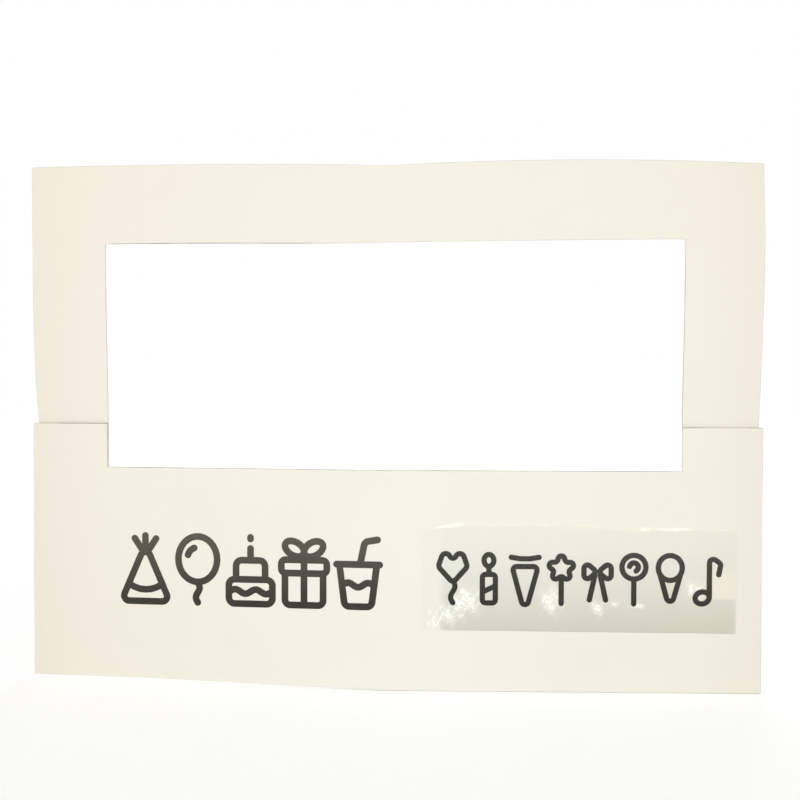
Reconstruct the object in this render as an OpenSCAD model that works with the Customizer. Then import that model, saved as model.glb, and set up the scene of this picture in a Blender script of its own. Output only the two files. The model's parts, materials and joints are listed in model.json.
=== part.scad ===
// Photo booth frame: two creased card boards, lapped and taped into one frame,
// with a row of cut vinyl stickers and a second row still under its transfer film.
// The front faces -Y, +X is to the right, +Z is up, and the bottom edge lies on z = 0.

/* [Frame] */
// Width of the frame laid flat
frame_w = 700; // [600:10:900]
// Height of the frame
frame_h = 500; // [460:10:700]
// Width of each upright beside the picture opening
upright_w = 73.5; // [60:0.5:100]
// Height of the rail above the picture opening
top_rail_h = 75; // [60:1:100]
// Height of the rail below the picture opening
bottom_rail_h = 209; // [180:1:230]
// Thickness of the card
card_t = 2; // [1.5:0.1:4]
// Radius of the cut outer corners
corner_r = 1; // [0.5:0.5:6]

/* [Hand-cut top edge] */
// How far the top edge dips at the crease
crease_dip = 5; // [0:0.5:8]
// Bow of the top edge over the left half
left_bow = 2; // [0:0.5:6]
// Bow of the top edge over the right half
right_bow = 4.5; // [0:0.5:6]
// How far the top edge drops at the right corner
right_drop = 4; // [0:0.5:8]

/* [Lap joint] */
// Height of the lower board, up to the lap line
lower_h = 250; // [240:1:280]
// Length of each upper leg that runs on down behind the lower board
lap_len = 50; // [25:1:60]
// Thickness of the double-sided tape in the lap
tape_t = 0.2; // [0.1:0.05:0.5]
// Margin round the tape inside the lap
tape_margin = 4; // [3:0.5:8]
// How far the outer edge of each upper leg draws in on its way to the lap line
outer_draw = 5; // [0:0.5:8]
// How far the inner edge of each upper leg draws in on its way to the lap line
inner_draw = 1.5; // [0:0.5:4]

/* [Crease] */
// Fold of the crease at rest, in degrees away from flat
rest_fold = 4.4; // [0.4:0.2:12]
// Width of the slit between the two leaves of a board
crease_gap = 0.3; // [0.2:0.05:0.6]
// Radius of the pressed bead on the back of the crease
bead_r = 0.6; // [0.4:0.05:0.9]
// Running clearance round the bead
bead_clear = 0.05; // [0.02:0.01:0.1]

/* [Stickers] */
// Thickness of the vinyl
vinyl_t = 0.2; // [0.1:0.05:0.4]
// Height of the middle of the bare row above the bottom edge
bare_z = 111; // [95:1:115]
// Height of the stickers in the bare row
bare_h = 71; // [50:1:76]
// Pen width of the stickers in the bare row
bare_pen = 6.5; // [4:0.1:7]
// Distance between stickers in the bare row
bare_pitch = 52; // [50:1:58]
// Height of the middle of the covered row and its film above the bottom edge
covered_z = 107; // [95:1:115]
// Height of the stickers in the covered row
covered_h = 51; // [40:1:60]
// Pen width of the stickers in the covered row
covered_pen = 5; // [3:0.1:5.5]
// Distance between stickers in the covered row
covered_pitch = 34; // [33:0.5:36]

/* [Transfer film] */
// Width of the film
film_w = 295; // [290:1:312]
// Height of the film
film_h = 98; // [80:1:100]
// Thickness of the film
film_t = 0.15; // [0.1:0.05:0.3]
// Distance from the crease to the film
film_inset = 32; // [15:1:34]
// Clearance between the film and the stickers under it
film_clear = 0.05; // [0.02:0.01:0.2]

/* [Hidden] */

half_w = frame_w / 2;
half_fold = rest_fold / 2;
opening_top = frame_h - top_rail_h;
leg_foot = lower_h - lap_len;
leg_inner = half_w - upright_w;
post_inner = leg_inner - inner_draw;
lap_step = card_t + tape_t;
bead_sink = bead_r + bead_clear;

// The crease line stands where the folded frame is centred on y = 0, front to back
front_reach = card_t * cos(half_fold) - crease_gap / 2 * sin(half_fold);
back_reach = (half_w - outer_draw) * sin(half_fold) + lap_step * cos(half_fold);
crease_y = (front_reach - back_reach) / 2;

// Stations along a leg's bend and along a bowed edge, and the turn between points of a round corner
leg_stations = 14;
edge_stations = 12;
arc_step = 12;

// Sticker designs are drawn in a cell this tall
cell_h = 100;
first_bare_x = -4.5 * bare_pitch - 3;
first_covered_x = film_inset + (film_w - 7 * covered_pitch) / 2;

card_colour = [0.95, 0.93, 0.87];
card_shade = [0.93, 0.91, 0.85];
tape_colour = [0.86, 0.84, 0.76];
vinyl_colour = [0.23, 0.23, 0.21];
film_colour = [0.85, 0.84, 0.80, 0.45];

// Plane geometry
function unit(v) = v / norm(v);
function left_of(v) = [-v[1], v[0]];
function round_point(middle, r, angle) = middle + r * [cos(angle), sin(angle)];
function reversed(list) = [for (i = [len(list) - 1 : -1 : 0]) list[i]];
function pick(value, i) = is_list(value) ? value[i] : value;

// Corner b of the path a-b-c, rounded to radius r
function corner(a, b, c, r) =
    let (
        u = unit(a - b),
        v = unit(c - b),
        half = acos(max(-1, min(1, u * v))) / 2,
        middle = b + unit(u + v) * r / sin(half),
        start = b + u * r / tan(half) - middle,
        turn = -sign(cross(u, v)) * (180 - 2 * half),
        steps = max(2, ceil(abs(turn) / arc_step))
    )
    [for (i = [0 : steps]) round_point(middle, r, atan2(start[1], start[0]) + turn * i / steps)];

// Closed path through the corners, each rounded to its own radius, where 0 is left sharp
function rounded_loop(p, r) =
    let (n = len(p))
    [for (i = [0 : n - 1])
        each (pick(r, i) == 0 ? [p[i]] : corner(p[(i + n - 1) % n], p[i], p[(i + 1) % n], pick(r, i)))];

// Open path through the corners, with those between its ends rounded to radius r
function rounded_line(p, r) =
    let (last = len(p) - 1)
    [p[0], for (i = [1 : last - 1]) each corner(p[i - 1], p[i], p[i + 1], r), p[last]];

function arc(middle, r, from, to) =
    let (steps = ceil(abs(to - from) / arc_step))
    [for (i = [0 : steps]) round_point(middle, r, from + (to - from) * i / steps)];

function oval(middle, rx, ry, tilt = 0) =
    [for (a = [0 : arc_step : 360 - arc_step])
        middle + [rx * cos(a) * cos(tilt) - ry * sin(a) * sin(tilt),
                  rx * cos(a) * sin(tilt) + ry * sin(a) * cos(tilt)]];

// Path moved sideways by a distance, to its left where the distance is positive
function beside_loop(p, d) =
    let (n = len(p))
    [for (i = [0 : n - 1]) p[i] + d * left_of(unit(p[(i + 1) % n] - p[(i + n - 1) % n]))];
function beside_line(p, d) =
    let (last = len(p) - 1)
    [for (i = [0 : last]) p[i] + d * left_of(unit(p[min(i + 1, last)] - p[max(i - 1, 0)]))];

// Round end of a stroke that arrives at the tip along a direction
function cap(tip, along, r) =
    let (heading = atan2(along[1], along[0]), steps = 180 / arc_step)
    [for (i = [1 : steps - 1]) round_point(tip, r, heading + 90 - i * arc_step)];

// Vinyl strokes with their backs on y = 0: a stroke has round ends, and a loop closes on itself.
// $unit is the size of a cell unit and $pen the width of the pen.
module stroke(path) {
    p = $unit * path;
    last = len(p) - 1;
    plate(vinyl_t, -vinyl_t) polygon(concat(
        beside_line(p, $pen / 2),
        cap(p[last], p[last] - p[last - 1], $pen / 2),
        reversed(beside_line(p, -$pen / 2)),
        cap(p[0], p[0] - p[1], $pen / 2)
    ));
}

module loop(path) {
    p = $unit * path;
    plate(vinyl_t, -vinyl_t) difference() {
        polygon(beside_loop(p, -$pen / 2));
        polygon(beside_loop(p, $pen / 2));
    }
}

// Places on the folded frame, from the flat frame with its front face on y = 0
module left_half() {
    translate([0, crease_y, 0]) rotate([0, 0, -half_fold]) translate([0, -card_t, 0]) children();
}

module right_half() {
    translate([0, crease_y, 0]) rotate([0, 0, half_fold]) translate([0, -card_t, 0]) children();
}

// Flat plate with its front face on y = front, from an outline drawn in x and z
module plate(thickness, front = 0) {
    translate([0, front + thickness, 0]) rotate([90, 0, 0]) linear_extrude(thickness) children();
}

// Crease bead along the fold line of a board
module bead(r, from, to) {
    translate([0, card_t, from]) cylinder(r = r, h = to - from, $fn = 48);
}

// Upper board. Each leg bends back by the lap step and draws in on its way down to the lap line.
function down_leg(z) = min(1, (opening_top - z) / (opening_top - lower_h));
function leg_setback(z) = lap_step * (1 - cos(180 * down_leg(z))) / 2;
function leg_outer_x(z) = half_w - outer_draw * pow(down_leg(z), 2);
function leg_inner_x(z) = leg_inner - inner_draw * pow(down_leg(z), 2);
leg_zs = [for (i = [0 : leg_stations]) opening_top - (opening_top - lower_h) * i / leg_stations];

// The hand-cut top edge bows up between the dip at the crease and its drop at the outer corner
function top_edge(drop, bow) =
    [for (i = [0 : edge_stations])
        let (u = i / edge_stations, rise = 4 * bow * u * (1 - u))
        [max(crease_gap / 2, half_w * u), frame_h - crease_dip * (1 - u) - drop * u + rise]];

module upper_outline(drop, bow) {
    inner_edge = [for (z = leg_zs) [leg_inner_x(z), z]];
    outer_edge = [for (z = leg_zs) [leg_outer_x(z), z]];
    foot_inner = [leg_inner_x(leg_foot), leg_foot];
    foot_outer = [leg_outer_x(leg_foot), leg_foot];
    top = top_edge(drop, bow);
    points = concat(
        [[crease_gap / 2, opening_top]],
        inner_edge,
        [foot_inner, foot_outer],
        reversed(outer_edge),
        reversed(top)
    );
    rounded_corners = [foot_inner, foot_outer, top[edge_stations]];
    radii = [for (p = points) len([for (q = rounded_corners) if (q == p) q]) > 0 ? corner_r : 0];
    polygon(rounded_loop(points, radii));
}

module upper_section(head) {
    bend = [for (z = leg_zs) [leg_setback(z), z]];
    front_line = concat([[lap_step, leg_foot]], reversed(bend), [[0, head]]);
    back_line = [for (p = front_line) p + [card_t, 0]];
    rotate([90, 0, 90]) linear_extrude(half_w) polygon(concat(front_line, reversed(back_line)));
}

module upper_leaf(drop, bow) {
    intersection() {
        plate(2 * lap_step + card_t, -lap_step / 2) upper_outline(drop, bow);
        upper_section(frame_h + bow);
    }
}

// Lower board: the bottom rail with a post at its outer end
module lower_outline() {
    points = [
        [crease_gap / 2, 0], [half_w, 0], [half_w, lower_h],
        [post_inner, lower_h], [post_inner, bottom_rail_h], [crease_gap / 2, bottom_rail_h]
    ];
    polygon(rounded_loop(points, [0, corner_r, corner_r, corner_r, 0, 0]));
}

module upper_left_leaf() {
    color(card_colour) left_half() {
        mirror([1, 0, 0]) upper_leaf(0, left_bow);
        bead(bead_r, opening_top, frame_h - crease_dip);
    }
}

module upper_right_leaf() {
    color(card_shade) right_half() difference() {
        upper_leaf(right_drop, right_bow);
        bead(bead_sink, opening_top - 1, frame_h + 1);
    }
}

module lower_left_leaf() {
    color(card_colour) left_half() {
        mirror([1, 0, 0]) plate(card_t) lower_outline();
        bead(bead_r, 0, bottom_rail_h);
    }
}

module lower_right_leaf() {
    color(card_shade) right_half() difference() {
        plate(card_t) lower_outline();
        bead(bead_sink, -1, bottom_rail_h + 1);
    }
}

// Tape pad between the back of a lower post and the front of the upper leg behind it
module lap_tape() {
    inner = post_inner + tape_margin;
    outer = half_w - outer_draw - tape_margin;
    translate([inner, card_t, leg_foot + tape_margin])
        cube([outer - inner, tape_t, lap_len - 2 * tape_margin]);
}

module left_lap_tape() { color(tape_colour) left_half() mirror([1, 0, 0]) lap_tape(); }
module right_lap_tape() { color(tape_colour) right_half() lap_tape(); }

// Sticker designs, each drawn in a cell 100 high that stands on z = 0 and is centred on x = 0
module hat() {
    loop(rounded_loop([[-34, 5], [34, 5], [0, 83]], 7));
    for (lean = [-1, 0, 1]) stroke([[3 * lean, 73], [15 * lean, 95 - 4 * abs(lean)]]);
    stroke(arc([0, 60], 39, 236, 304));
}

module balloon() {
    loop(oval([0, 64], 27, 31));
    stroke([for (t = [0 : 0.05 : 1]) [2.6 * sin(360 * t), 32 - 27 * t]]);
    stroke(arc([0, 66], 14, 110, 165));
}

module cake() {
    loop(rounded_loop([[-30, 5], [30, 5], [30, 38], [-30, 38]], 8));
    stroke(rounded_line([[-20, 39.5], [-20, 64], [20, 64], [20, 39.5]], 8));
    stroke([for (t = [0 : 0.04 : 1]) [-28.5 + 57 * t, 21.5 + 3 * sin(720 * t)]]);
    stroke([[0, 65.5], [0, 80]]);
    stroke([[0, 93], [0, 95]]);
}

module gift() {
    stroke(rounded_line([[-26, 47], [-26, 5], [26, 5], [26, 47]], 7));
    loop(rounded_loop([[-31, 48], [31, 48], [31, 66], [-31, 66]], 6));
    stroke([[0, 6.5], [0, 64.5]]);
    loop(oval([13, 81], 14, 9, 30));
    loop(oval([-13, 81], 14, 9, -30));
}

module cup() {
    stroke(rounded_line([[-25, 60], [-18, 5], [18, 5], [25, 60]], 7));
    stroke([[-29, 61.5], [29, 61.5]]);
    stroke(rounded_line([[3, 63], [9, 92], [26, 95]], 7));
    stroke([for (t = [0 : 0.05 : 1]) [-20.5 + 41 * t, 34 + 3 * sin(540 * t)]]);
}

module heart() {
    loop(rounded_loop([[0, 42], [27, 72], [15, 107], [0, 82], [-15, 107], [-27, 72]], [6, 9, 8, 6, 8, 9]));
    stroke([for (t = [0 : 0.05 : 1]) [4 * sin(360 * t), 46 - 41 * t]]);
}

module candle() {
    loop(rounded_loop([[-12, 5], [12, 5], [12, 58], [-12, 58]], 6));
    stroke([[-10.5, 26], [10.5, 36]]);
    stroke([[0, 59.5], [0, 71]]);
    loop(oval([0, 84], 9, 11));
}

module pennant() {
    stroke(arc([0, 193], 106, 256, 284));
    loop(rounded_loop([[0, -16], [24, 73], [-24, 73]], 6.5));
}

module wand() {
    loop(rounded_loop([for (i = [0 : 9]) round_point([0, 70], i % 2 == 0 ? 36 : 14, 90 + 36 * i)], 6));
    stroke([[0, 54], [0, 5]]);
}

module bow() {
    loop(rounded_loop([[1, 64], [25, 44], [25, 84]], 6.5));
    loop(rounded_loop([[-1, 64], [-25, 84], [-25, 44]], 6.5));
    stroke([[5, 57], [15, 12]]);
    stroke([[-5, 57], [-15, 12]]);
}

module lollipop() {
    loop(oval([0, 73], 22, 22));
    stroke(arc([0, 73], 8, -60, 170));
    stroke([[0, 49.5], [0, 5]]);
}

module cone() {
    stroke(rounded_line([[-18, 57], [0, -7], [18, 57]], 6.5));
    loop(oval([0, 72], 22, 23));
}

module note() {
    loop(oval([-8, 17], 13, 11, 15));
    stroke(rounded_line([[5, 19], [5, 95], [26, 80], [22, 60]], 7));
}

// A sticker on its place in the bare row of the left half, or in the covered row of the right half
module bare_sticker(place) {
    $unit = bare_h / cell_h;
    $pen = bare_pen;
    color(vinyl_colour) left_half()
        translate([first_bare_x + bare_pitch * place, 0, bare_z - bare_h / 2]) children();
}

module covered_sticker(place) {
    $unit = covered_h / cell_h;
    $pen = covered_pen;
    color(vinyl_colour) right_half()
        translate([first_covered_x + covered_pitch * place, 0, covered_z - covered_h / 2]) children();
}

module hat_sticker() bare_sticker(0) hat();
module balloon_sticker() bare_sticker(1) balloon();
module cake_sticker() bare_sticker(2) cake();
module gift_sticker() bare_sticker(3) gift();
module cup_sticker() bare_sticker(4) cup();

module heart_sticker() covered_sticker(0) heart();
module candle_sticker() covered_sticker(1) candle();
module pennant_sticker() covered_sticker(2) pennant();
module wand_sticker() covered_sticker(3) wand();
module bow_sticker() covered_sticker(4) bow();
module lollipop_sticker() covered_sticker(5) lollipop();
module cone_sticker() covered_sticker(6) cone();
module note_sticker() covered_sticker(7) note();

// Clear film over the covered row, hung by its top edge
module transfer_film() {
    color(film_colour) right_half()
        translate([film_inset, -vinyl_t - film_clear - film_t, covered_z - film_h / 2])
            cube([film_w, film_t, film_h]);
}

upper_left_leaf();
upper_right_leaf();
lower_left_leaf();
lower_right_leaf();
left_lap_tape();
right_lap_tape();
hat_sticker();
balloon_sticker();
cake_sticker();
gift_sticker();
cup_sticker();
heart_sticker();
candle_sticker();
pennant_sticker();
wand_sticker();
bow_sticker();
lollipop_sticker();
cone_sticker();
note_sticker();
transfer_film();
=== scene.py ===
"""Photo booth frame: creased card boards, cut vinyl stickers and a clear transfer film."""

import json
import math

import bmesh
import bpy
import numpy as np
from mathutils import Matrix, Vector
from mathutils.bvhtree import BVHTree


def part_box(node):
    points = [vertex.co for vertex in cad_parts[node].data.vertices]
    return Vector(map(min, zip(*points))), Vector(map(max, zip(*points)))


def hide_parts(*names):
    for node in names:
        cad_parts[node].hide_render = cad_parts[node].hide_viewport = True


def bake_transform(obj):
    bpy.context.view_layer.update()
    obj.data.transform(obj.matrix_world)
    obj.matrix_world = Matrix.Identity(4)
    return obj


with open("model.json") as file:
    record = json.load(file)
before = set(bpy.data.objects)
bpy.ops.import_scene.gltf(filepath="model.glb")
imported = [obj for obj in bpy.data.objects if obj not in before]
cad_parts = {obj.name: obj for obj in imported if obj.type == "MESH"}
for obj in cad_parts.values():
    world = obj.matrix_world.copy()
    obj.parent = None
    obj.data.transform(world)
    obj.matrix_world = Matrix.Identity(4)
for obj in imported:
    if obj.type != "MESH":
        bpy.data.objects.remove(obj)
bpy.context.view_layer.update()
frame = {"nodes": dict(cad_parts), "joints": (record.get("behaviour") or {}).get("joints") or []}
joints = {joint["name"]: joint for joint in frame["joints"]}

# Flat boards, in millimetres, with the front face on y = 0 and the back on y = CARD_T
MM = 0.001
HALF_W = 350.0
FRAME_H = 500.0
OPENING_TOP = 425.0
OPENING_BOTTOM = 209.0
LEG_INNER = 276.5
POST_INNER = 275.0
LOWER_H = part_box("lower_left_leaf")[1].z / MM
LEG_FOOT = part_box("upper_left_leaf")[0].z / MM
CARD_T = 2.0

# Crease: the rest fold, the width that bends, the pressed groove in front and the bead behind
CREASE_Y = joints["centre_fold"]["pos_m"][1] / MM
HALF_FOLD = math.radians(-joints["centre_fold"]["range_deg"][0] / 2)
BEND = 2.4
GROOVE = 0.1
BEAD = 0.55
PRESS_W = 0.7

# Stickers that lie under the film
COVERED = ("heart", "candle", "pennant", "wand", "bow", "lollipop", "cone", "note")


def smooth(value, low, high):
    """Eases from 0 at low to 1 at high."""
    t = np.clip((value - low) / (high - low), 0, 1)
    return t * t * (3 - 2 * t)


def eased_step(value, place, ease):
    """Goes from 0 to 1 at a place, over a distance on either side of it."""
    return smooth(value, place - ease, place + ease)


def folded(flat):
    """Flat places in millimetres, taken to the folded frame in metres."""
    x, y, z = flat.T
    turn = HALF_FOLD * (2 * smooth(x, -BEND, BEND) - 1)
    depth = y - CARD_T
    across = x * np.cos(turn) - depth * np.sin(turn)
    back = x * np.sin(turn) + depth * np.cos(turn) + CREASE_Y
    return np.stack([across, back, z], 1) * MM


def unfolded(places):
    """Places on the right half of the folded frame in metres, taken back to flat millimetres."""
    x, y, z = places.T / MM
    depth = y - CREASE_Y
    across = x * math.cos(HALF_FOLD) + depth * math.sin(HALF_FOLD)
    back = depth * math.cos(HALF_FOLD) - x * math.sin(HALF_FOLD) + CARD_T
    return np.stack([across, back, z], 1)


def corners_of(node):
    """Vertices of a CAD node, in metres."""
    return np.array([v.co for v in frame["nodes"][node].data.vertices])


def add_object(name, data):
    """New object in the scene, around a mesh, a light or a camera."""
    piece = bpy.data.objects.new(name, data)
    bpy.context.scene.collection.objects.link(piece)
    return piece


# Shader building

def colour(red, green, blue):
    """Display colour of 0 to 255, as the linear colour that a shader takes."""
    shares = [c / 255 for c in (red, green, blue)]
    return tuple(c / 12.92 if c <= 0.04045 else ((c + 0.055) / 1.055) ** 2.4 for c in shares) + (1.0,)


class Shader:
    """Short hand for one material's node tree."""

    def __init__(self, name):
        self.material = bpy.data.materials.new(name)
        self.material.use_nodes = True
        self.tree = self.material.node_tree
        self.surface = self.tree.nodes["Principled BSDF"]
        self.output = self.tree.nodes["Material Output"]

    def add(self, kind, settings=None, **inputs):
        """New node with its properties set, and its inputs fed by name, or by number as in _0."""
        node = self.tree.nodes.new("ShaderNode" + kind)
        for key, value in (settings or {}).items():
            setattr(node, key, value)
        for key, value in inputs.items():
            self.feed(node, int(key[1:]) if key.startswith("_") else key.replace("_", " "), value)
        return node

    def feed(self, node, key, value):
        """Links a socket to an input, or sets the input to a value."""
        socket = node.inputs[key]
        if isinstance(value, bpy.types.NodeSocket):
            self.tree.links.new(value, socket)
        else:
            socket.default_value = value

    def feed_surface(self, **inputs):
        """Feeds the main shader's inputs by name."""
        for key, value in inputs.items():
            self.feed(self.surface, key.replace("_", " "), value)

    def places(self, scale=(1, 1, 1), shift=(0, 0, 0)):
        """Place on the object in metres, stretched by scale and then shifted."""
        coordinates = self.add("TexCoord").outputs["Object"]
        return self.add("Mapping", Vector=coordinates, Location=shift, Scale=scale).outputs["Vector"]

    def axis(self, name):
        """Place on the object along X, Y or Z, in metres."""
        return self.add("SeparateXYZ", Vector=self.places()).outputs[name]

    def length(self, vector):
        """Length of a vector."""
        return self.add("VectorMath", {"operation": "LENGTH"}, _0=vector).outputs["Value"]

    def attribute(self, name, output):
        """Value or colour that the mesh carries on its points."""
        return self.add("Attribute", {"attribute_name": name}).outputs[output]

    def noise(self, scale, detail=2.0, roughness=0.5, stretch=(1, 1, 1)):
        """Cloudy noise from 0 to 1, with scale in grains to the metre."""
        inputs = {"Scale": scale, "Detail": detail, "Roughness": roughness}
        return self.add("TexNoise", Vector=self.places(stretch), **inputs).outputs["Fac"]

    def spread(self, value, low, high, to_low=0.0, to_high=1.0):
        """Value between low and high, spread over another range and held there."""
        node = self.add("MapRange", _0=value, _1=low, _2=high, _3=to_low, _4=to_high)
        return node.outputs["Result"]

    def math(self, operation, first, second=0.0):
        """One step of arithmetic, on one value or two."""
        return self.add("Math", {"operation": operation}, _0=first, _1=second).outputs["Value"]

    def mix(self, share, first, second):
        """Colour between two, by share."""
        return self.add("Mix", {"data_type": "RGBA"}, _0=share, _6=first, _7=second).outputs[2]

    def ramp(self, value, stops):
        """Colour along a row of stops, each a place from 0 to 1 and its colour."""
        node = self.add("ValToRGB", _0=value)
        elements = node.color_ramp.elements
        for place, _ in stops[2:]:
            elements.new(place)
        for element, (place, shade) in zip(elements, stops):
            element.position = place
            element.color = shade
        return node.outputs["Color"]

    def bump(self, height, distance, strength):
        """Surface direction over relief of a height of 0 to 1, with distance in metres."""
        node = self.add("Bump", Height=height, Distance=distance, Strength=strength)
        return node.outputs["Normal"]

    def bump_onto(self, normal, height, distance, strength):
        """Surface direction over more relief, on top of some that is there."""
        node = self.add("Bump", Normal=normal, Height=height, Distance=distance, Strength=strength)
        return node.outputs["Normal"]


# Card: its colours, among them the darker, warmer one of a painted light falloff towards the ends, and how
# strongly its fibres and flecks show
CARD_BASE = colour(248, 248, 239)
CARD_MOTTLED = colour(246, 245, 235)
CARD_FALLOFF = colour(244, 238, 223)
CARD_DARK_ENDS = colour(214, 209, 190)
CARD_FIBRE = colour(231, 225, 210)
CARD_FLECK = colour(206, 196, 174)
FIBRE_STRETCH = (14, 14, 45)
FIBRE_SHARE = 0.16
FLECK_SHARE = 0.22
# Painted light falloff: where the card is brightest, and how far from there it is at its darkest and
# warmest, in metres
LIT_MIDDLE_SHIFT = (-0.03, 0, -0.06)
LIT_MIDDLE_SCALE = (1, 0, 0.6)
FALLOFF_REACH = 0.4
# Darker towards the far ends: where that starts and is full, in metres from the crease, and its share
DARK_ENDS_FROM = 0.29
DARK_ENDS_TO = 0.35
DARK_ENDS_SHARE = 0.13


def card_material():
    """Cream card: mottled, with a painted light falloff that leaves it darker and warmer away from the
    middle, darker still at the far ends, with fine fibres, flecks and a paper tooth.
    """
    s = Shader("cream_card")
    mottle = s.spread(s.noise(scale=9, detail=3), 0.3, 0.7)
    mottled_base = s.mix(mottle, CARD_BASE, CARD_MOTTLED)
    # painted light falloff: darker and warmer away from the brightest middle
    away = s.length(s.places(LIT_MIDDLE_SCALE, LIT_MIDDLE_SHIFT))
    falloff = s.mix(s.spread(away, 0.0, FALLOFF_REACH), mottled_base, CARD_FALLOFF)
    across = s.math("ABSOLUTE", s.axis("X"))
    ends = s.spread(across, DARK_ENDS_FROM, DARK_ENDS_TO, 0.0, DARK_ENDS_SHARE)
    darker_ends = s.mix(ends, falloff, CARD_DARK_ENDS)
    fibres = s.spread(s.noise(scale=60, detail=5, roughness=0.6, stretch=FIBRE_STRETCH), 0.3, 0.75)
    fibred = s.mix(s.math("MULTIPLY", fibres, FIBRE_SHARE), darker_ends, CARD_FIBRE)
    flecks = s.spread(s.noise(scale=420), 0.72, 0.78, 0.0, FLECK_SHARE)
    tooth = s.bump(s.noise(scale=1500, detail=4, roughness=0.65), distance=0.00008, strength=0.5)
    s.feed_surface(
        Base_Color=s.mix(flecks, fibred, CARD_FLECK),
        Roughness=s.spread(fibres, 0.0, 1.0, 0.7, 0.86),
        Specular_IOR_Level=0.3,
        Normal=s.bump_onto(tooth, fibres, distance=0.0001, strength=0.35),
    )
    return s.material


# Cut edge of the card: its colours, the dark one being painted shade, its pressed layers, and the attribute
# that says how much painted shade lies on it
CORE_DARK = colour(228, 221, 206)
CORE_PALE = colour(247, 241, 229)
CORE_SHADE = colour(104, 96, 82)
LAYER_STRETCH = (0.15, 3, 0.15)
EDGE_SHADE_ATTR = "soil"
# Share of the painted shade between the patches
EDGE_SHADE_LEAST = 0.45


def core_material():
    """Cut edge of the card: pressed pale layers, torn and fibrous, with patches of painted shade and
    shadow.
    """
    s = Shader("card_core")
    layers = s.noise(scale=900, detail=3, roughness=0.6, stretch=LAYER_STRETCH)
    fibres = s.noise(scale=700, detail=5, roughness=0.7)
    torn = s.math("ADD", layers, fibres)
    clean = s.mix(s.spread(torn, 0.7, 1.3), CORE_DARK, CORE_PALE)
    # painted shade and shadow lines on the cut edges, broken into patches
    patches = s.spread(s.noise(scale=26), 0.4, 0.6, EDGE_SHADE_LEAST, 1.0)
    soil = s.math("MULTIPLY", s.attribute(EDGE_SHADE_ATTR, "Fac"), patches)
    s.feed_surface(
        Base_Color=s.mix(soil, clean, CORE_SHADE),
        Roughness=s.spread(fibres, 0.3, 0.7, 0.85, 0.98),
        Specular_IOR_Level=0.15,
        Normal=s.bump(torn, distance=0.0002, strength=0.8),
    )
    return s.material


# Vinyl: its colours, the lighter one a painted sheen, and the heights in metres between which it goes from
# dark to that painted sheen
VINYL_DARK = colour(42, 40, 32)
VINYL_SHEEN = colour(88, 85, 74)
VINYL_DUST = colour(120, 118, 108)
DUST_SHARE = 0.35
VINYL_LOW = 0.072
VINYL_HIGH = 0.15
# How much higher the painted sheen reaches where the rubbed noise is high
SHEEN_RISE = 0.012
# Share of the painted sheen on the stickers under the film, which begin at the crease
COVERED_SHEEN = 0.36
COVERED_EASE = 0.01


def vinyl_material():
    """Charcoal cut vinyl: satin, with a faint orange peel, dust, and a painted sheen that makes it lighter
    higher up.
    """
    s = Shader("charcoal_vinyl")
    rubbed = s.spread(s.noise(scale=45, detail=4, roughness=0.6), 0.35, 0.7)
    # painted sheen: lighter towards the top of the stickers
    up = s.math("ADD", s.axis("Z"), s.math("MULTIPLY", rubbed, SHEEN_RISE))
    bare = s.spread(s.axis("X"), -COVERED_EASE, COVERED_EASE, 1.0, COVERED_SHEEN)
    sheen = s.math("MULTIPLY", s.spread(up, VINYL_LOW, VINYL_HIGH), bare)
    body = s.mix(sheen, VINYL_DARK, VINYL_SHEEN)
    dust = s.spread(s.noise(scale=900), 0.68, 0.78, 0.0, DUST_SHARE)
    s.feed_surface(
        Base_Color=s.mix(dust, body, VINYL_DUST),
        Roughness=s.spread(rubbed, 0.0, 1.0, 0.34, 0.46),
        Specular_IOR_Level=0.2,
        Normal=s.bump(s.noise(scale=1100, detail=3), distance=0.00003, strength=0.4),
    )
    return s.material


TAPE_GREY = colour(222, 216, 198)
TAPE_MILKY = colour(238, 233, 218)
CRINKLE_STRETCH = (1, 1, 2.5)


def tape_material():
    """Double-sided tissue tape: milky, with a fine crinkle."""
    s = Shader("tissue_tape")
    crinkle = s.noise(scale=240, detail=5, roughness=0.65, stretch=CRINKLE_STRETCH)
    s.feed_surface(
        Base_Color=s.mix(s.spread(crinkle, 0.3, 0.7), TAPE_GREY, TAPE_MILKY),
        Roughness=s.spread(crinkle, 0.3, 0.7, 0.45, 0.65),
        Normal=s.bump(crinkle, distance=0.0001, strength=0.6),
    )
    return s.material


# Film: the attribute with its painted glare, depth of tint and painted lip highlights, and its tint from
# clear to deepest
FILM_LOOK = "film_look"
FILM_TINTS = (
    (0.0, (1, 0.996, 0.986, 1)),
    (0.2, (0.986, 0.989, 0.989, 1)),
    (0.8, (0.927, 0.927, 0.917, 1)),
    (1.0, (0.89, 0.89, 0.88, 1)),
)
SCUFF_STRETCH = (1, 1, 3)
# Gloss: its colour, its share from the front and when grazing, how late it grows, and its least relief
GLOSS = (0.92, 0.97, 1, 1)
SHINE_FRONT = 0.007
SHINE_GRAZING = 0.7
SHINE_LATE = 4.0
PEEL_LEAST = 0.08
# Painted highlight specks: how many to the metre, their reach where the painted glare is full, and their
# soft edge
SPECK_SCALE = 540
SPECK_REACH = 0.44
SPECK_EDGE = 0.1
SPECK_HIGHLIGHT = (0.27, 0.264, 0.248, 1)
BLACK = (0, 0, 0, 1)
# Share of that painted highlight on the lip, where it is worn and where it is whole
LIP_WORN = 0.29
LIP_WHOLE = 0.72


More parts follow.
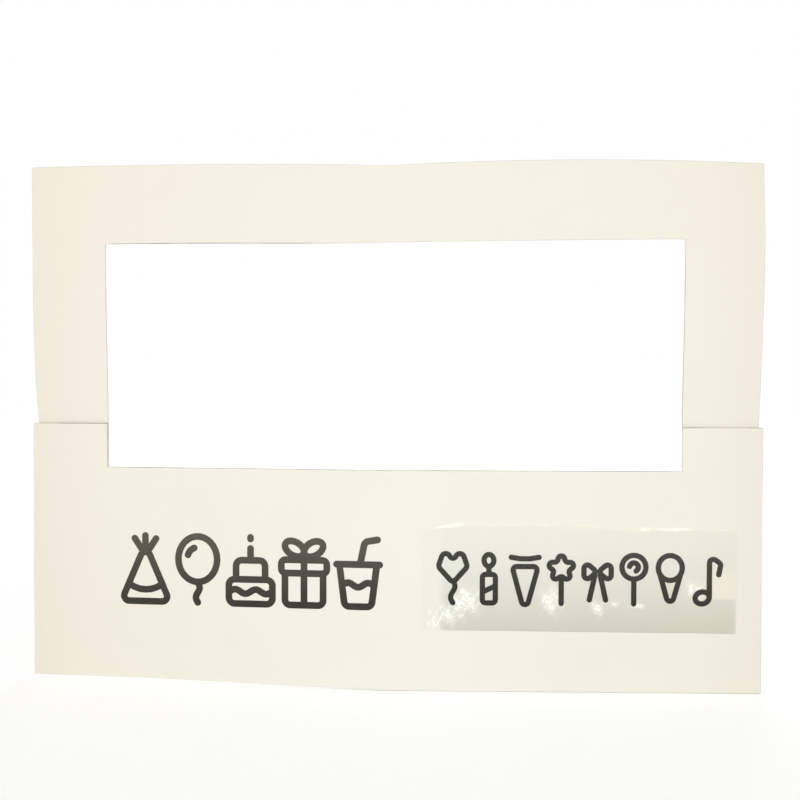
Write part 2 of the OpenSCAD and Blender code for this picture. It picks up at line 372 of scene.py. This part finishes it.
def film_skin(s, glare_mask, depth, scuffs):
    """Clear tinted film under a gloss that grows towards grazing angles."""
    clear = s.add("BsdfTransparent", Color=s.ramp(depth, FILM_TINTS)).outputs["BSDF"]
    grain = s.math("MULTIPLY", s.noise(scale=400), s.math("ADD", glare_mask, PEEL_LEAST))
    peel = s.bump(grain, distance=0.001, strength=0.9)
    rough = s.spread(scuffs, 0.3, 0.7, 0.08, 0.2)
    gloss = s.add("BsdfGlossy", Color=GLOSS, Roughness=rough, Normal=peel).outputs["BSDF"]
    facing = s.add("LayerWeight", Blend=0.5).outputs["Facing"]
    grazing = s.math("MULTIPLY", s.math("POWER", facing, SHINE_LATE), SHINE_GRAZING)
    shine = s.math("ADD", grazing, SHINE_FRONT)
    return s.add("MixShader", _0=shine, _1=clear, _2=gloss).outputs["Shader"]


def film_highlights(s, glare_mask, lip_glints, scuffs):
    """Painted highlights: white specks in the glare patches and along the lip, added as white diffuse light
    on top.
    """
    away = s.add("TexVoronoi", Vector=s.places(), Scale=SPECK_SCALE).outputs["Distance"]
    inside = s.math("SUBTRACT", s.math("MULTIPLY", glare_mask, SPECK_REACH), away)
    specks = s.spread(inside, 0.0, SPECK_EDGE)
    ragged = s.math("MULTIPLY", lip_glints, s.spread(scuffs, 0.35, 0.6, LIP_WORN, LIP_WHOLE))
    # painted highlights: white added on top of the film
    highlight = s.mix(s.math("MAXIMUM", specks, ragged), BLACK, SPECK_HIGHLIGHT)
    return s.add("BsdfDiffuse", Color=highlight).outputs["BSDF"]


def film_material():
    """Clear transfer film: a glossy tinted skin, with painted highlights added on top."""
    s = Shader("clear_film")
    look = s.add("SeparateColor", Color=s.attribute(FILM_LOOK, "Color")).outputs
    scuffs = s.noise(scale=160, detail=4, roughness=0.6, stretch=SCUFF_STRETCH)
    skin = film_skin(s, look["Red"], look["Green"], scuffs)
    highlights = film_highlights(s, look["Red"], look["Blue"], scuffs)
    s.feed(s.output, "Surface", s.add("AddShader", _0=skin, _1=highlights).outputs["Shader"])
    s.tree.nodes.remove(s.surface)
    return s.material


# Board meshes, in millimetres: the grid, the rounded corners and the softened rims
CELL = 12.0
CREASE_XS = (0, 0.25, 0.5, 0.8, 1.2, 1.7, 2.4, 3.5, 6)
CORNER_R = 1.0
CORNER_SEGMENTS = 5
EDGE_R = 0.3
EDGE_SEGMENTS = 2
# How far a face may turn to the front as a wall or as part of the cut edge, and the least turn of a corner
WALL_FRONT = 0.3
CUT_FRONT = 0.97
CORNER_TURN = 0.5


def steps(start, end, size):
    """Even stations from start to end, no further apart than size."""
    return list(np.linspace(start, end, math.ceil(abs(end - start) / size) + 1))


def board_columns(inner):
    """Stations across a board, with one on the inner edge of each upright and close ones at the crease."""
    rail = steps(CREASE_XS[-1], inner, CELL)[1:]
    upright = steps(inner, HALF_W, CELL)[1:]
    half = list(CREASE_XS) + rail + upright
    return [-x for x in reversed(half[1:])] + half


def slab(xs, zs, solid):
    """Closed slab of card over the grid cells whose middle is solid."""
    bm = bmesh.new()
    made = {}
    cells = {(i, j) for i in range(len(xs) - 1) for j in range(len(zs) - 1)
             if solid((xs[i] + xs[i + 1]) / 2, (zs[j] + zs[j + 1]) / 2)}

    def corner(place, depth):
        if (place, depth) not in made:
            made[place, depth] = bm.verts.new((xs[place[0]], depth, zs[place[1]]))
        return made[place, depth]

    for i, j in sorted(cells):
        ring = [(i, j), (i + 1, j), (i + 1, j + 1), (i, j + 1)]
        bm.faces.new([corner(p, 0.0) for p in ring])
        bm.faces.new([corner(p, CARD_T) for p in reversed(ring)])
        beyond = [(i, j - 1), (i + 1, j), (i, j + 1), (i - 1, j)]
        for p, q, neighbour in zip(ring, ring[1:] + ring[:1], beyond):
            if neighbour not in cells:
                bm.faces.new([corner(q, 0.0), corner(p, 0.0), corner(p, CARD_T), corner(q, CARD_T)])
    bm.normal_update()
    return bm


def is_wall(face):
    """Whether a face of the slab stands across the card."""
    return abs(face.normal.y) < WALL_FRONT


def bevel(bm, edges, offset, segments):
    """Rounds some edges of the slab."""
    bmesh.ops.bevel(bm, geom=edges, offset=offset, segments=segments, profile=0.5, affect="EDGES")
    bm.normal_update()


def round_edges(bm):
    """Rounds the outer corners of the outline, then softens the cut edge all round."""
    walls = [e for e in bm.edges if all(is_wall(f) for f in e.link_faces)]
    corners = [e for e in walls if e.is_convex and e.calc_face_angle(0) > CORNER_TURN]
    bevel(bm, corners, CORNER_R, CORNER_SEGMENTS)
    rims = [e for e in bm.edges if len({is_wall(f) for f in e.link_faces}) == 2]
    bevel(bm, rims, EDGE_R, EDGE_SEGMENTS)


def pressed(flat):
    """Presses the crease into a board: a shallow groove in front and a round bead behind."""
    x, y, z = flat.T
    line = np.exp(-(x / PRESS_W) ** 2)
    deeper = y + line * np.where(y < CARD_T / 2, GROOVE, BEAD)
    return np.stack([x, deeper, z], 1)


def board_mesh(name, bm, shape, soil):
    """Mesh of a rounded slab, brought to its shape, folded, and carrying painted shade on its cut edges."""
    for face in bm.faces:
        cut = abs(face.normal.y) < CUT_FRONT
        face.material_index = int(cut)
        face.smooth = cut
    flat = np.array([v.co for v in bm.verts])
    for vert, place in zip(bm.verts, folded(pressed(shape(flat)))):
        vert.co = place
    mesh = bpy.data.meshes.new(name)
    bm.to_mesh(mesh)
    bm.free()
    mesh.attributes.new(EDGE_SHADE_ATTR, "FLOAT", "POINT").data.foreach_set("value", soil(flat))
    return mesh


def make_board(name, xs, zs, solid, shape, soil, leaves):
    """One sheet of card across the crease, bent between the two halves of the frame."""
    bm = slab(xs, zs, solid)
    round_edges(bm)
    mesh = board_mesh(name, bm, shape, soil)
    mesh.materials.append(card)
    mesh.materials.append(core)
    piece = add_object(name, mesh)
    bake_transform(piece)
    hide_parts(*leaves)


# Upper board: a top rail and two legs that bend back and draw in on their way down to the lap

# Legs: how far they step back, how far each edge draws in, and how late on the way down
LAP_STEP = 2.15
INNER_DRAW = 1.5
INNER_DRAW_LATE = 2
LEFT_DRAW = 5.0
LEFT_DRAW_LATE = 4
RIGHT_DRAW = 3.6
RIGHT_DRAW_LATE = 2
# Right leg: its outer corner is tucked in, and its foot is set back behind the post
RIGHT_TUCK = 1.8
RIGHT_FOOT_SET = 1.0
FOOT_EASE = 4.0
# Hand-cut top edge: its dip at the crease, the bow of each half and the drop at the right corner
CREASE_DIP = 5.0
LEFT_BOW = 1.99
RIGHT_BOW = 4.5
RIGHT_DROP = 4.0
# Top of the opening: its sag near the crease and its rise on the right
OPENING_SAG = 1.9
SAG_MIDDLE = -45.0
SAG_REACH = 110.0
OPENING_RISE = 1.1
OPENING_RISE_FROM = 100.0
OPENING_RISE_TO = 260.0
# Painted shade on the cut edges: the top of the opening, left of the crease, the right leg, and painted
# shadow along the outer edges
LINTEL_SHADE = 1.2
LINTEL_FROM = 20.0
LINTEL_TO = 120.0
RIGHT_LEG_SHADE = 0.27
OUTER_EDGE_SHADE = 0.68
# How near to an edge a point belongs to it
EDGE_REACH = 0.5


def top_edge(x):
    """Height of the hand-cut top edge."""
    u = np.abs(x) / HALF_W
    bow = np.where(x < 0, LEFT_BOW, RIGHT_BOW)
    drop = np.where(x < 0, 0, RIGHT_DROP)
    return FRAME_H - CREASE_DIP * (1 - u) - drop * u + 4 * bow * u * (1 - u)


def opening_wander(x):
    """How far the top of the opening wanders up or down from straight."""
    sag = OPENING_SAG * np.exp(-((x - SAG_MIDDLE) / SAG_REACH) ** 2)
    return OPENING_RISE * smooth(x, OPENING_RISE_FROM, OPENING_RISE_TO) - sag


def leg_draw(x, z, down):
    """How far a place draws in towards the middle, eased across the leg between its two edges."""
    left = LEFT_DRAW * down ** LEFT_DRAW_LATE
    right = RIGHT_DRAW * down ** RIGHT_DRAW_LATE + RIGHT_TUCK * smooth(z, OPENING_TOP, FRAME_H)
    outer = np.where(x < 0, left, right)
    hidden = np.where(x > 0, RIGHT_FOOT_SET * smooth(LOWER_H - z, 0, FOOT_EASE), 0)
    inner = INNER_DRAW * down ** INNER_DRAW_LATE - hidden
    across = np.clip((np.abs(x) - LEG_INNER) / (HALF_W - LEG_INNER), 0, 1)
    return inner * (1 - across) + outer * across


def upper_shape(flat):
    """Flat places of the upper board, moved to its hand-cut outline and its bent legs."""
    x, y, z = flat.T
    down = np.clip((OPENING_TOP - z) / (OPENING_TOP - LOWER_H), 0, 1)
    up = np.clip((z - OPENING_TOP) / (FRAME_H - OPENING_TOP), 0, 1)
    setback = LAP_STEP * (1 - np.cos(np.pi * down)) / 2
    lift = up * (top_edge(x) - FRAME_H) + (1 - up) * (1 - down) * opening_wander(x)
    return np.stack([x - np.sign(x) * leg_draw(x, z, down), y + setback, z + lift], 1)


def upper_soil(flat):
    """Painted shade and shadow on the cut edges of the upper board."""
    x, _, z = flat.T
    # painted shade on the lintel and right leg, painted shadow around the outside
    lintel = (np.abs(z - OPENING_TOP) < EDGE_REACH) & (x > EDGE_REACH - LEG_INNER)
    leg = (np.abs(x - LEG_INNER) < EDGE_REACH) & (z < OPENING_TOP - EDGE_REACH)
    outside = (np.abs(x) > HALF_W - EDGE_REACH) | (z > FRAME_H - EDGE_REACH)
    return np.maximum.reduce([
        lintel * LINTEL_SHADE * smooth(-x, LINTEL_FROM, LINTEL_TO),
        leg * RIGHT_LEG_SHADE,
        outside * OUTER_EDGE_SHADE,
    ])


def make_upper_board():
    """Upper board, in place of the two upper leaves."""
    zs = steps(LEG_FOOT, OPENING_TOP, CELL) + steps(OPENING_TOP, FRAME_H, CELL)[1:]
    make_board("upper_board", board_columns(LEG_INNER), zs,
               lambda x, z: z > OPENING_TOP or abs(x) > LEG_INNER,
               upper_shape, upper_soil, ("upper_left_leaf", "upper_right_leaf"))


# Lower board: a deep bottom rail with a short post at each end

LEFT_POST_RISE = 1.3
# Bottom edge, which rises towards the left between two places
BOTTOM_RISE = 4.2
BOTTOM_RISE_FROM = -15.0
BOTTOM_RISE_TO = -240.0
# Painted shade on the cut edges: the bottom of the opening, painted shadow on the tops of the posts, the
# left post and the bottom
SILL_SHADE = 0.85
LEFT_LAP_SHADOW = 1.05
RIGHT_LAP_SHADOW = 0.82
LEFT_POST_SHADE = 0.3
BOTTOM_EDGE_SHADE = 0.3


def lower_shape(flat):
    """Flat places of the lower board, moved to its hand-cut outline."""
    x, y, z = flat.T
    rise = BOTTOM_RISE * np.clip((x - BOTTOM_RISE_FROM) / (BOTTOM_RISE_TO - BOTTOM_RISE_FROM), 0, 1)
    low = np.clip(1 - z / OPENING_BOTTOM, 0, 1)
    post = np.where(x < 0, LEFT_POST_RISE * smooth(z, OPENING_BOTTOM, LOWER_H), 0)
    return np.stack([x, y, z + rise * low + post], 1)


def lower_soil(flat):
    """Painted shade and shadow on the cut edges of the lower board."""
    x, _, z = flat.T
    # painted shade on the sill, left post and bottom edge, painted shadow at the laps and around the
    # outside
    sill = (np.abs(z - OPENING_BOTTOM) < EDGE_REACH) & (np.abs(x) < POST_INNER - EDGE_REACH)
    lap = z > LOWER_H - EDGE_REACH
    post = (np.abs(x + POST_INNER) < EDGE_REACH) & (z > OPENING_BOTTOM + EDGE_REACH)
    outside = np.abs(x) > HALF_W - EDGE_REACH
    bottom = z < EDGE_REACH
    return np.maximum.reduce([
        sill * SILL_SHADE,
        lap * np.where(x < 0, LEFT_LAP_SHADOW, RIGHT_LAP_SHADOW),
        post * LEFT_POST_SHADE,
        outside * OUTER_EDGE_SHADE,
        bottom * BOTTOM_EDGE_SHADE,
    ])


def make_lower_board():
    """Lower board, in place of the two lower leaves."""
    zs = steps(0, OPENING_BOTTOM, CELL) + steps(OPENING_BOTTOM, LOWER_H, CELL)[1:]
    make_board("lower_board", board_columns(POST_INNER), zs,
               lambda x, z: z < OPENING_BOTTOM or abs(x) > POST_INNER,
               lower_shape, lower_soil, ("lower_left_leaf", "lower_right_leaf"))


# Transfer film: a thin sheet that hugs the stickers, with trapped air and a lifted lip along its top

FILM_T = 0.15
FILM_CELL = 1.0
FILM_GAP = 0.03
# Over the stickers: how far they hold the film up, how soft their edges are, and where it is free of them
STICKER_REACH = 0.22
DRAPE_PASSES = 3
FREE_UNTIL = 0.1
HELD_FROM = 0.6
# Waves in the film: height, then for each its share, its lengths in x and z and its start
WAVE_H = 0.16
WAVES = ((0.6, 13.2, 22.0, 0.0), (0.4, 5.9, -9.7, 1.3))
# Hand-cut outline: how far each corner is out of square, in x and z
BOTTOM_LEFT = (-1.0, 0.1)
BOTTOM_RIGHT = (-0.9, -1.4)
TOP_LEFT = (1.1, -1.9)
TOP_RIGHT = (0.0, -1.3)
# Swell of the top edge: its height, where it begins on the way up, and how it comes and goes along the edge
TOP_SWELL = 6.0
SWELL_FROM = 0.85
SWELL_STEPS = ((1.0, 0.0, 0.12), (-0.73, 0.42, 0.74), (-0.27, 0.74, 1.0))
# Lip along the top: its height and width, how it begins and narrows, and the shares that curl and carry a
# painted highlight
LIP_H = 0.9
LIP_W = 3.8
LIP_LEAST_W = 0.1
LIP_BEGINS = 0.1
LIP_NARROWS_FROM = 0.6
LIP_NARROWS = 0.65
LIP_CURL = 0.3
LIP_LOOSE = 0.8
LIP_GLINT_LEAST = 0.18
# Painted highlight streaks in the lip: share of the way along it, half length as a share, and strength
STREAKS = (
    (0.035, 0.025, 0.6),
    (0.092, 0.03, 0.8),
    (0.387, 0.014, 0.5),
    (0.705, 0.012, 1.0),
    (0.8, 0.08, 0.6),
)
STREAK_FAINT = 0.1
STREAK_FULL = 0.8
# Tint: how deep it is at the top and the bottom, how late it deepens, and how much deeper the painted
# shadow line along the edges is
TOP_TINT = 0.15
LOW_TINT = 0.8
TINT_LATE = 1.6
EDGE_SHADOW = 0.2
# Stretch over which the painted shadow line comes in, along the bottom and down the left
BOTTOM_LINE = (0.05, 0.5)
LEFT_LINE = (0.3, 1.0)
# Paler places: a strip at the left, a painted glint along the rim at the right, a painted reflection near
# the right end and the painted glare, with their shares
CLEAR_STRIP = 24.0
STRIP_SHARE = 0.9
GLINT_RIM = 4.0
RIM_GLINT_SHARE = 0.5
REFLECTION_LEFT = 302.0
REFLECTION_LEFT_EASE = 6.0
REFLECTION_LOW = 89.0
REFLECTION_LOW_EASE = 1.0
REFLECTION_HIGH = 116.0
REFLECTION_HIGH_EASE = 8.0
REFLECTION_SHARE = 0.95
GLARE_SHARE = 0.65
# Patches of trapped air, each also the middle of a painted glare patch: middle x and z, half width and half
# height, and how many blisters
BLISTER_PATCHES = (
    (42, 65, 11, 8, 24),
    (55, 73, 19, 13, 60),
    (73, 86, 19, 15, 60),
    (153, 87, 13, 15, 40),
    (197, 80, 8, 8, 20),
    (213, 84, 5, 4, 8),
    (233, 82, 10, 3, 12),
    (288, 97, 11, 12, 30),
)
BLISTER_SEED = 11
BLISTER_SCATTER = 0.45
BLISTER_R = (1.4, 3.2)
BLISTER_H = (0.05, 0.15)
# Painted glare over a patch: where it is full and where it ends, as shares of its size, and the ripples of
# its edge
GLARE_FULL = 0.3
GLARE_END = 1.2
GLARE_RIPPLES = ((0.16, 2.3, 3.9, 0.0), (0.12, 1.3, -1.7, 1.0))


def ripples(x, z, waves):
    """Sum of waves over the film, each with a height, its lengths in x and z and its start."""
    return sum(height * np.sin(x / length_x + z / length_z + start)
               for height, length_x, length_z, start in waves)


def covered_stickers():
    """Search tree over the stickers under the film, in flat millimetres."""
    verts = []
    faces = []
    for name in COVERED:
        node = name + "_sticker"
        first = len(verts)
        verts.extend(unfolded(corners_of(node)).tolist())
        faces.extend([first + i for i in p.vertices] for p in frame["nodes"][node].data.polygons)
    return BVHTree.FromPolygons(verts, faces)


def drape(x, z):
    """1 where a sticker under the film holds it off the board and 0 elsewhere, eased at the edges."""
    stickers = covered_stickers()
    toward_card = Vector((0, 1, 0))
    held = np.array([[stickers.ray_cast(Vector((a, -CARD_T, b)), toward_card)[0] is not None
                      for a, b in zip(row_x, row_z)] for row_x, row_z in zip(x, z)], float)
    for _ in range(DRAPE_PASSES):
        padded = np.pad(held, 1, mode="edge")
        columns = padded[:, :-2] + padded[:, 1:-1] + padded[:, 2:]
        held = (columns[:-2] + columns[1:-1] + columns[2:]) / 9
    return held


def blisters(x, z):
    """Height of the air blisters, and the painted glare over their patches."""
    rng = np.random.default_rng(BLISTER_SEED)
    height = np.zeros_like(x)
    glare = np.zeros_like(x)
    ragged = ripples(x, z, GLARE_RIPPLES)
    for middle_x, middle_z, half_w, half_h, count in BLISTER_PATCHES:
        for _ in range(count):
            place_x = middle_x + half_w * rng.normal(0, BLISTER_SCATTER)
            place_z = middle_z + half_h * rng.normal(0, BLISTER_SCATTER)
            r = rng.uniform(*BLISTER_R)
            h = rng.uniform(*BLISTER_H)
            dome = np.clip(1 - ((x - place_x) ** 2 + (z - place_z) ** 2) / r ** 2, 0, 1) ** 2
            height = np.maximum(height, h * dome)
        away = np.hypot((x - middle_x) / half_w, (z - middle_z) / half_h) + ragged
        glare = np.maximum(glare, 1 - smooth(away, GLARE_FULL, GLARE_END))
    return height, glare


def between_corners(u, v, axis):
    """How far a place moves along one axis, from the moves of the film's four corners."""
    bottom = (1 - u) * BOTTOM_LEFT[axis] + u * BOTTOM_RIGHT[axis]
    top = (1 - u) * TOP_LEFT[axis] + u * TOP_RIGHT[axis]
    return (1 - v) * bottom + v * top


def hand_cut(u, v):
    """How far the film's grid moves in x and z to meet its outline, by its shares across and up."""
    swell = sum(share * smooth(u, start, end) for share, start, end in SWELL_STEPS)
    lift = TOP_SWELL * swell * smooth(v, SWELL_FROM, 1)
    return between_corners(u, v, 0), between_corners(u, v, 1) + lift


def film_grid(left, bottom, right, top):
    """Shares across and up the film, and where its hand-cut grid lies in x and z."""
    across = (np.array(steps(left, right, FILM_CELL)) - left) / (right - left)
    up = (np.array(steps(bottom, top, FILM_CELL)) - bottom) / (top - bottom)
    u, v = np.meshgrid(across, up)
    move_x, move_z = hand_cut(u, v)
    return u, v, left + u * (right - left) + move_x, bottom + v * (top - bottom) + move_z


def lip(u, below):
    """Share by which the top edge stands off the card, and whether a place belongs to that lip."""
    narrowed = 1 - LIP_NARROWS * smooth(u, LIP_NARROWS_FROM, 1)
    width = LIP_W * smooth(u, 0, LIP_BEGINS) * narrowed + LIP_LEAST_W
    return 1 - smooth(below, LIP_CURL * width, width), 1 - smooth(below, LIP_LOOSE * width, width)


def lip_highlights(u, loose):
    """Painted highlights on the lip, with their bright streaks."""
    streak = sum(strength * np.exp(-((u - middle) / reach) ** 2) for middle, reach, strength in STREAKS)
    return np.maximum(smooth(streak, STREAK_FAINT, STREAK_FULL), LIP_GLINT_LEAST) * loose


def painted_reflection(x, z):
    """1 in the painted reflection at the right end of the film, eased at its sides."""
    above = eased_step(z, REFLECTION_LOW, REFLECTION_LOW_EASE)
    below = 1 - eased_step(z, REFLECTION_HIGH, REFLECTION_HIGH_EASE)
    return eased_step(x, REFLECTION_LEFT, REFLECTION_LEFT_EASE) * above * below


def film_tint(x, z, u, v, glare, loose):
    """Depth of the film's tint, from 0 for clear to 1, paler in the painted glare, glint and reflection,
    and deeper in a painted shadow line along the bottom and left edges.
    """
    depth = TOP_TINT + (LOW_TINT - TOP_TINT) * (1 - v) ** TINT_LATE
    strip = 1 - smooth(x, x.min() + CLEAR_STRIP / 2, x.min() + CLEAR_STRIP)
    # painted glint along the right rim
    rim = smooth(x, x.max() - GLINT_RIM, x.max())
    paler = np.maximum.reduce([
        STRIP_SHARE * strip,
        RIM_GLINT_SHARE * rim,
        # painted reflection near the right end
        REFLECTION_SHARE * painted_reflection(x, z),
        # painted glare: paler film over the patches
        GLARE_SHARE * glare,
        loose,
    ])
    # painted shadow line under the film's bottom and left edges
    line = np.maximum((v == 0) * smooth(u, *BOTTOM_LINE), (u == 0) * smooth(1 - v, *LEFT_LINE))
    return depth * (1 - paler) + EDGE_SHADOW * line


def film_mesh(x, z, relief):
    """Closed thin sheet over the film's grid: all points of the front, then those of the back."""
    front = np.stack([x, -relief - FILM_T, z], 2).reshape(-1, 3)
    back = np.stack([x, -relief, z], 2).reshape(-1, 3)
    number = np.arange(x.size).reshape(x.shape)
    rings = np.stack([number[:-1, :-1], number[:-1, 1:], number[1:, 1:], number[1:, :-1]], 2)
    faces = []
    for ring in rings.reshape(-1, 4).tolist():
        faces.append(ring)
        faces.append([k + x.size for k in reversed(ring)])
    rim = np.concatenate([number[0], number[1:, -1], number[-1, -2::-1], number[-2:0:-1, 0]]).tolist()
    faces += [[q, p, p + x.size, q + x.size] for p, q in zip(rim, rim[1:] + rim[:1])]
    mesh = bpy.data.meshes.new("film_sheet")
    mesh.from_pydata(folded(np.concatenate([front, back])).tolist(), [], faces)
    mesh.shade_smooth()
    return mesh


def write_film_look(mesh, glare_mask, depth, lip_glints):
    """Writes the film's painted glare, tint and painted lip highlights on its points; the back has the tint
    alone.
    """
    none = np.zeros_like(depth)
    full = np.ones_like(depth)
    front = np.stack([glare_mask, depth, lip_glints, full], 2).reshape(-1, 4)
    back = np.stack([none, depth, none, full], 2).reshape(-1, 4)
    attribute = mesh.color_attributes.new(FILM_LOOK, "FLOAT_COLOR", "POINT")
    attribute.data.foreach_set("color", np.concatenate([front, back]).ravel())


def make_film():
    """Transfer film, in place of its plain solid, bent along the top where it peels."""
    place = unfolded(corners_of("transfer_film"))
    left, _, bottom = place.min(0)
    right, _, top = place.max(0)
    u, v, x, z = film_grid(left, bottom, right, top)
    height, glare = blisters(x, z)
    held = drape(x, z)
    free = 1 - smooth(held, FREE_UNTIL, HELD_FROM)
    lifted, loose = lip(u, z[-1] - z)
    waves = WAVE_H * (1 + ripples(x, z, WAVES)) / 2
    relief = FILM_GAP + STICKER_REACH * held + waves + height * free + LIP_H * lifted
    mesh = film_mesh(x, z, relief)
    write_film_look(mesh, glare * free, film_tint(x, z, u, v, glare, loose), lip_highlights(u, loose))
    mesh.materials.append(film_material())
    piece = add_object("film_sheet", mesh)
    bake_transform(piece)
    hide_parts("transfer_film")


def paint(node, material):
    """Gives a CAD node a better material."""
    mesh = frame["nodes"][node].data
    mesh.materials.clear()
    mesh.materials.append(material)


# Studio, in metres: the floor and its glow near and far, the even light, the backdrop and the lamps
WHITE = (1, 1, 1, 1)
FLOOR_SIZE = 12.0
FLOOR_DROP = 0.0003
FLOOR_COLOUR = (0.95, 0.95, 0.95, 1)
FLOOR_NEAR = 0.5
FLOOR_FAR = 3.0
GLOW_NEAR = 0.28
GLOW_FAR = 0.46
WORLD_LIGHT = 0.6
BACKDROP_LIGHT = 1.0
KEY_PLACE = (-0.9, -2.0, 0.45)
KEY_SIZE = (1.6, 1.1)
KEY_POWER = 12.3
FILL_PLACE = (1.0, -1.9, 0.2)
FILL_SIZE = (1.4, 0.8)
FILL_POWER = 11.2
BACK_PLACE = (0.5, 2.0, 1.1)
BACK_SIZE = (1.6, 1.1)
BACK_POWER = 12.0
LIGHT_AIM = (0, 0, 0.25)
# Photograph's camera, in metres and degrees, with the focal length in pixels of the image
IMAGE_PX = 800
FOCAL_PX = 870
SENSOR_MM = 36
CAMERA_PLACE = (0.0561, -0.8252, 0.2908)
CAMERA_YAW = 3.205
CAMERA_PITCH = -1.09
CAMERA_ROLL = -0.144
CLIP_NEAR = 0.01
CLIP_FAR = 50


def seen_rays(tree):
    """1 for rays from the camera and for mirrored or clear ones, 0 for those that light the object."""
    path = tree.nodes.new("ShaderNodeLightPath")
    mirrored = tree.nodes.new("ShaderNodeMath")
    seen = tree.nodes.new("ShaderNodeMath")
    mirrored.operation = "MAXIMUM"
    seen.operation = "MAXIMUM"
    tree.links.new(path.outputs["Is Glossy Ray"], mirrored.inputs[0])
    tree.links.new(path.outputs["Is Transmission Ray"], mirrored.inputs[1])
    tree.links.new(path.outputs["Is Camera Ray"], seen.inputs[0])
    tree.links.new(mirrored.outputs["Value"], seen.inputs[1])
    return seen.outputs["Value"]


def floor_material():
    """Plain white floor, which glows only for rays that see it."""
    s = Shader("floor_white")
    glow = s.spread(s.length(s.places()), FLOOR_NEAR, FLOOR_FAR, GLOW_NEAR, GLOW_FAR)
    s.feed_surface(
        Base_Color=FLOOR_COLOUR,
        Roughness=0.9,
        Specular_IOR_Level=0.0,
        Emission_Color=WHITE,
        Emission_Strength=s.math("MULTIPLY", glow, seen_rays(s.tree)),
    )
    return s.material


def make_floor():
    """Floor that keeps the shadow, and runs out into the white background."""
    half = FLOOR_SIZE / 2
    corners = [(x, y, -FLOOR_DROP) for x, y in ((-half, -half), (half, -half), (half, half), (-half, half))]
    mesh = bpy.data.meshes.new("floor")
    mesh.from_pydata(corners, [], [(0, 1, 2, 3)])
    mesh.materials.append(floor_material())
    add_object("floor", mesh)


def add_background(tree, strength):
    """White background of some strength."""
    node = tree.nodes.new("ShaderNodeBackground")
    node.inputs["Color"].default_value = WHITE
    node.inputs["Strength"].default_value = strength
    return node.outputs["Background"]


def make_world():
    """White behind the object, with a softer even light on it."""
    world = bpy.data.worlds.new("studio")
    world.use_nodes = True
    bpy.context.scene.world = world
    tree = world.node_tree
    tree.nodes.clear()
    choose = tree.nodes.new("ShaderNodeMixShader")
    output = tree.nodes.new("ShaderNodeOutputWorld")
    tree.links.new(seen_rays(tree), choose.inputs[0])
    tree.links.new(add_background(tree, WORLD_LIGHT), choose.inputs[1])
    tree.links.new(add_background(tree, BACKDROP_LIGHT), choose.inputs[2])
    tree.links.new(choose.outputs[0], output.inputs["Surface"])


def add_softbox(name, place, size, power):
    """Rectangular lamp, turned to the object."""
    light = bpy.data.lights.new(name, "AREA")
    light.shape = "RECTANGLE"
    light.size, light.size_y = size
    light.energy = power
    lamp = add_object(name, light)
    lamp.location = place
    lamp.rotation_euler = (Vector(LIGHT_AIM) - Vector(place)).to_track_quat("-Z", "Y").to_euler()


def add_camera():
    """Camera at the photograph's view."""
    data = bpy.data.cameras.new("photo_camera")
    data.sensor_width = SENSOR_MM
    data.lens = FOCAL_PX / IMAGE_PX * SENSOR_MM
    data.clip_start = CLIP_NEAR
    data.clip_end = CLIP_FAR
    camera = add_object("photo_camera", data)
    turn = (Matrix.Rotation(math.radians(CAMERA_YAW), 4, "Z")
            @ Matrix.Rotation(math.radians(90 + CAMERA_PITCH), 4, "X")
            @ Matrix.Rotation(math.radians(-CAMERA_ROLL), 4, "Z"))
    camera.matrix_world = Matrix.Translation(CAMERA_PLACE) @ turn
    bpy.context.scene.camera = camera


card = card_material()
core = core_material()
make_upper_board()
make_lower_board()
make_film()
vinyl = vinyl_material()
tape = tape_material()
for node in frame["nodes"]:
    if node.endswith("_sticker"):
        paint(node, vinyl)
    elif node.endswith("_tape"):
        paint(node, tape)

make_floor()
make_world()
add_softbox("key", KEY_PLACE, KEY_SIZE, KEY_POWER)
add_softbox("fill", FILL_PLACE, FILL_SIZE, FILL_POWER)
add_softbox("back", BACK_PLACE, BACK_SIZE, BACK_POWER)
add_camera()
bpy.context.scene.view_settings.view_transform = "Standard"
